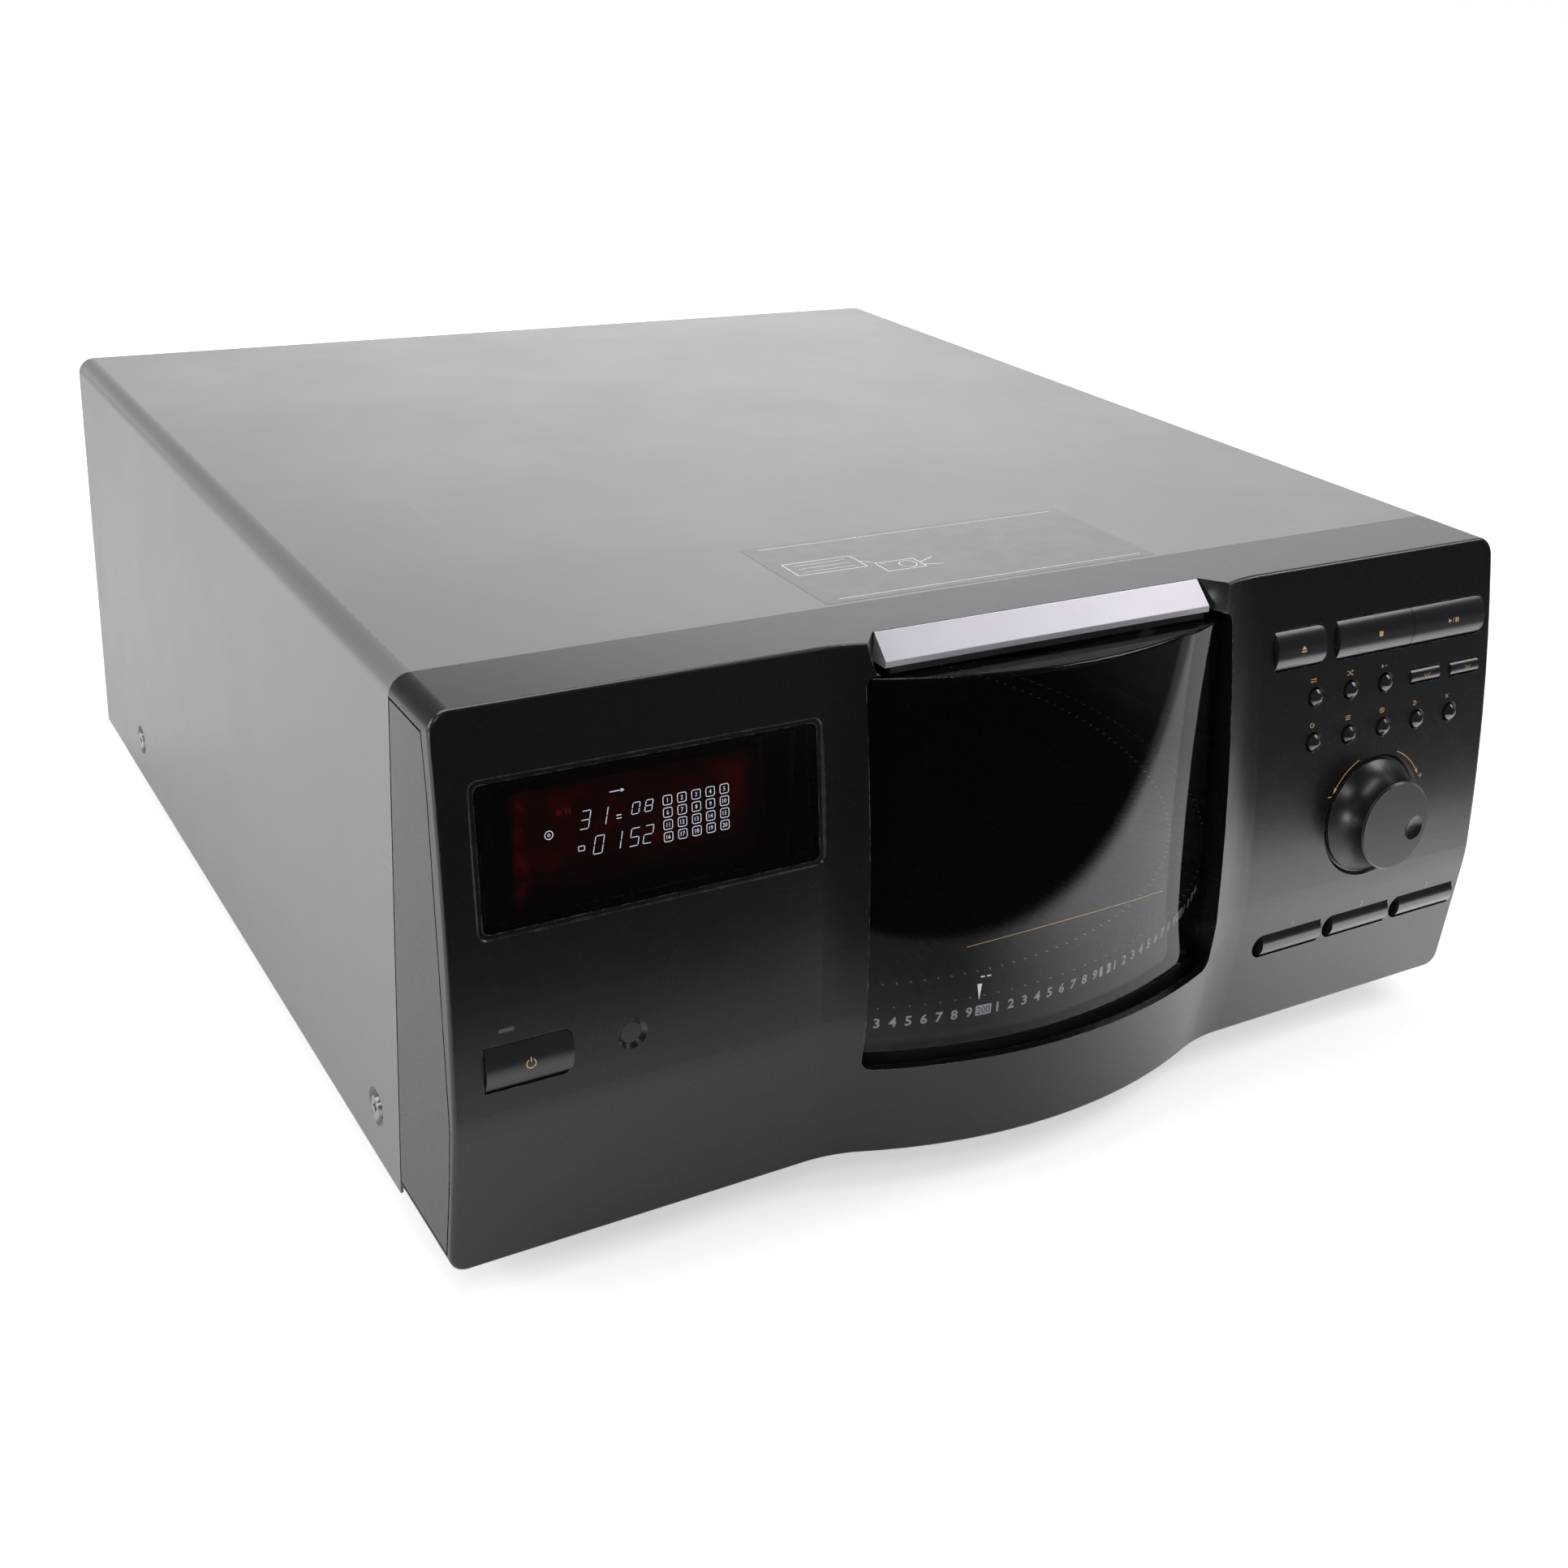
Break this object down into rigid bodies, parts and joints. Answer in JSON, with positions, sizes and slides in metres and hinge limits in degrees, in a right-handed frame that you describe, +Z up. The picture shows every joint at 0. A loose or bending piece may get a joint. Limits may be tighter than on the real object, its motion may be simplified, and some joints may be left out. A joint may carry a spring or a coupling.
{
  "type": "cd mega changer",
  "caption": "Carousel disc changer in a steel case: leaning front with a curved sliding door, display, push buttons and a jog dial over a rotating disc ring.",
  "frame": {"origin": "middle of the footprint on the surface it stands on", "axes": "+X to the right seen from the front, -Y towards the viewer of the front, +Z up"},
  "size_m": [0.4358, 0.4916, 0.1985],
  "materials": {
    "painted_steel": "semi gloss",
    "bare_steel": "satin",
    "panel_plastic": "satin",
    "inner_plastic": "matt",
    "grey_plastic": "matt",
    "key_plastic": "satin",
    "dial_plastic": "gloss",
    "smoked_window": "gloss",
    "display_filter": "gloss",
    "clear_glass": "gloss",
    "red_lens": "gloss",
    "bar_metal": "satin",
    "felt": "matt",
    "white_plastic": "matt",
    "board": "satin",
    "rubber": "matt",
    "screw_steel": "satin"
  },
  "bodies": {
    "case": {"base_pan": "bare_steel", "deck": "inner_plastic", "rear_panel": "bare_steel", "top_cover": "painted_steel", "cover_screws": "screw_steel", "front_panel": "panel_plastic", "trim_bar": "bar_metal", "felt_strip": "felt", "display_window": "display_filter", "display_tube": "clear_glass", "display_board": "board", "standby_lens": "red_lens", "sensor_lens": "display_filter", "button_board": "board", "dial_board": "board", "bar_board": "board", "feet": "inner_plastic", "carousel_motor": "bare_steel", "door_motor": "bare_steel", "centre_bridge": "bare_steel", "mechanism_frame": "bare_steel", "sled_rails": "bare_steel", "player_motors": "bare_steel", "transformer": "bare_steel", "main_board": "board", "audio_jacks": "grey_plastic", "cord_gland": "rubber"},
    "carousel": {"carousel": "inner_plastic"},
    "door": {"door_window": "smoked_window", "door_carrier": "inner_plastic"},
    "carousel_gear": {"carousel_gear": "white_plastic"},
    "door_gear": {"door_gear": "white_plastic"},
    "support_roller_1": {"support_roller_1": "white_plastic"},
    "support_roller_2": {"support_roller_2": "white_plastic"},
    "support_roller_3": {"support_roller_3": "white_plastic"},
    "turntable": {"turntable": "grey_plastic"},
    "pickup_sled": {"pickup_sled": "inner_plastic"},
    "sled_gear": {"sled_gear": "white_plastic"},
    "clamper_arm": {"clamper_arm": "inner_plastic"},
    "clamper_puck": {"clamper_puck": "grey_plastic"},
    "disc_pusher": {"disc_pusher": "white_plastic"},
    "power_button": {"power_button": "key_plastic"},
    "open_close_button": {"open_close_button": "key_plastic"},
    "stop_button": {"stop_button": "key_plastic"},
    "play_button": {"play_button": "key_plastic"},
    "skip_back_button": {"skip_back_button": "key_plastic"},
    "skip_forward_button": {"skip_forward_button": "key_plastic"},
    "disc_bar_1": {"disc_bar_1": "key_plastic"},
    "disc_bar_2": {"disc_bar_2": "key_plastic"},
    "disc_bar_3": {"disc_bar_3": "key_plastic"},
    "mode_button_1": {"mode_button_1": "key_plastic"},
    "mode_button_2": {"mode_button_2": "key_plastic"},
    "mode_button_3": {"mode_button_3": "key_plastic"},
    "mode_button_4": {"mode_button_4": "key_plastic"},
    "mode_button_5": {"mode_button_5": "key_plastic"},
    "mode_button_6": {"mode_button_6": "key_plastic"},
    "mode_button_7": {"mode_button_7": "key_plastic"},
    "mode_button_8": {"mode_button_8": "key_plastic"},
    "jog_dial": {"jog_dial": "dial_plastic"}
  },
  "joints": [
    {"name": "carousel_spin", "type": "hinge", "parent": "case", "child": "carousel", "pos_m": [0.003, -0.04083, 0.0485], "axis": [0, 0, 1], "continuous": true},
    {"name": "door_slide", "type": "hinge", "parent": "case", "child": "door", "pos_m": [0.003, -0.04083, 0.0485], "axis": [0, 0, -1], "range_deg": [0, 46]},
    {"name": "carousel_gear_spin", "type": "hinge", "parent": "case", "child": "carousel_gear", "pos_m": [0.07935, -0.01304, 0.046], "axis": [0, 0, 1], "continuous": true},
    {"name": "door_gear_spin", "type": "hinge", "parent": "case", "child": "door_gear", "pos_m": [-0.10089, -0.18383, 0.046], "axis": [0, 0, -1], "range_deg": [0, 725]},
    {"name": "support_roller_1_spin", "type": "hinge", "parent": "case", "child": "support_roller_1", "pos_m": [0.04131, 0.10212, 0.0422], "axis": [0.2588, 0.9659, 0], "continuous": true},
    {"name": "support_roller_2_spin", "type": "hinge", "parent": "case", "child": "support_roller_2", "pos_m": [-0.13996, -0.07914, 0.0422], "axis": [-0.9659, -0.2588, 0], "continuous": true},
    {"name": "support_roller_3_spin", "type": "hinge", "parent": "case", "child": "support_roller_3", "pos_m": [0.10765, -0.14549, 0.0422], "axis": [0.7071, -0.7071, 0], "continuous": true},
    {"name": "turntable_spin", "type": "hinge", "parent": "case", "child": "turntable", "pos_m": [-0.002, -0.04083, 0.1115], "axis": [1, 0, 0], "continuous": true},
    {"name": "sled_slide", "type": "slide", "parent": "case", "child": "pickup_sled", "axis": [0, 0, -1], "range_m": [0, 0.034]},
    {"name": "sled_gear_spin", "type": "hinge", "parent": "case", "child": "sled_gear", "pos_m": [-0.008, -0.01633, 0.0785], "axis": [1, 0, 0], "range_deg": [0, 330]},
    {"name": "clamper_swing", "type": "hinge", "parent": "case", "child": "clamper_arm", "pos_m": [0.017, -0.04083, 0.1695], "axis": [0, 1, 0], "range_deg": [0, 10]},
    {"name": "clamper_puck_spin", "type": "hinge", "parent": "clamper_arm", "child": "clamper_puck", "pos_m": [0.02707, -0.04083, 0.11238], "axis": [-0.9848, 0, -0.1736], "continuous": true},
    {"name": "pusher_slide", "type": "slide", "parent": "case", "child": "disc_pusher", "axis": [0, -1, 0], "range_m": [0, 0.122]},
    {"name": "power_button_push", "type": "slide", "parent": "case", "child": "power_button", "axis": [0, 0.9974, -0.0725], "range_m": [0, 0.0008], "stiffness_N_per_m": 400},
    {"name": "open_close_button_push", "type": "slide", "parent": "case", "child": "open_close_button", "axis": [0, 0.9829, -0.1842], "range_m": [0, 0.0008], "stiffness_N_per_m": 400},
    {"name": "stop_button_push", "type": "slide", "parent": "case", "child": "stop_button", "axis": [0, 0.9829, -0.1842], "range_m": [0, 0.0008], "stiffness_N_per_m": 400},
    {"name": "play_button_push", "type": "slide", "parent": "case", "child": "play_button", "axis": [0, 0.9829, -0.1842], "range_m": [0, 0.0008], "stiffness_N_per_m": 400},
    {"name": "skip_back_button_push", "type": "slide", "parent": "case", "child": "skip_back_button", "axis": [0, 0.9876, -0.1573], "range_m": [0, 0.0008], "stiffness_N_per_m": 400},
    {"name": "skip_forward_button_push", "type": "slide", "parent": "case", "child": "skip_forward_button", "axis": [0, 0.9876, -0.157], "range_m": [0, 0.0008], "stiffness_N_per_m": 400},
    {"name": "disc_bar_1_push", "type": "slide", "parent": "case", "child": "disc_bar_1", "axis": [0, 0.9965, 0.0835], "range_m": [0, 0.0008], "stiffness_N_per_m": 400},
    {"name": "disc_bar_2_push", "type": "slide", "parent": "case", "child": "disc_bar_2", "axis": [0, 0.9965, 0.0835], "range_m": [0, 0.0008], "stiffness_N_per_m": 400},
    {"name": "disc_bar_3_push", "type": "slide", "parent": "case", "child": "disc_bar_3", "axis": [0, 0.9965, 0.0835], "range_m": [0, 0.0008], "stiffness_N_per_m": 400},
    {"name": "mode_button_1_push", "type": "slide", "parent": "case", "child": "mode_button_1", "axis": [0, 0.9876, -0.1573], "range_m": [0, 0.0008], "stiffness_N_per_m": 400},
    {"name": "mode_button_2_push", "type": "slide", "parent": "case", "child": "mode_button_2", "axis": [0, 0.9876, -0.1573], "range_m": [0, 0.0008], "stiffness_N_per_m": 400},
    {"name": "mode_button_3_push", "type": "slide", "parent": "case", "child": "mode_button_3", "axis": [0, 0.9876, -0.1573], "range_m": [0, 0.0008], "stiffness_N_per_m": 400},
    {"name": "mode_button_4_push", "type": "slide", "parent": "case", "child": "mode_button_4", "axis": [0, 0.991, -0.1337], "range_m": [0, 0.0008], "stiffness_N_per_m": 400},
    {"name": "mode_button_5_push", "type": "slide", "parent": "case", "child": "mode_button_5", "axis": [0, 0.991, -0.1337], "range_m": [0, 0.0008], "stiffness_N_per_m": 400},
    {"name": "mode_button_6_push", "type": "slide", "parent": "case", "child": "mode_button_6", "axis": [0, 0.991, -0.1337], "range_m": [0, 0.0008], "stiffness_N_per_m": 400},
    {"name": "mode_button_7_push", "type": "slide", "parent": "case", "child": "mode_button_7", "axis": [0, 0.991, -0.1337], "range_m": [0, 0.0008], "stiffness_N_per_m": 400},
    {"name": "mode_button_8_push", "type": "slide", "parent": "case", "child": "mode_button_8", "axis": [0, 0.991, -0.1337], "range_m": [0, 0.0008], "stiffness_N_per_m": 400},
    {"name": "jog_dial_spin", "type": "hinge", "parent": "case", "child": "jog_dial", "pos_m": [0.1584, -0.2285, 0.0974], "axis": [0, -0.9964, 0.0851], "continuous": true}
  ],
  "couplings": [
    {"joint": "carousel_gear_spin", "follows": "carousel_spin", "ratio": -5.75},
    {"joint": "door_gear_spin", "follows": "door_slide", "ratio": 15.75},
    {"joint": "support_roller_1_spin", "follows": "carousel_spin", "ratio": -24.667},
    {"joint": "support_roller_2_spin", "follows": "carousel_spin", "ratio": -24.667},
    {"joint": "support_roller_3_spin", "follows": "carousel_spin", "ratio": -24.667},
    {"joint": "sled_gear_spin", "follows": "sled_slide", "rad_per_m": 166.67}
  ]
}
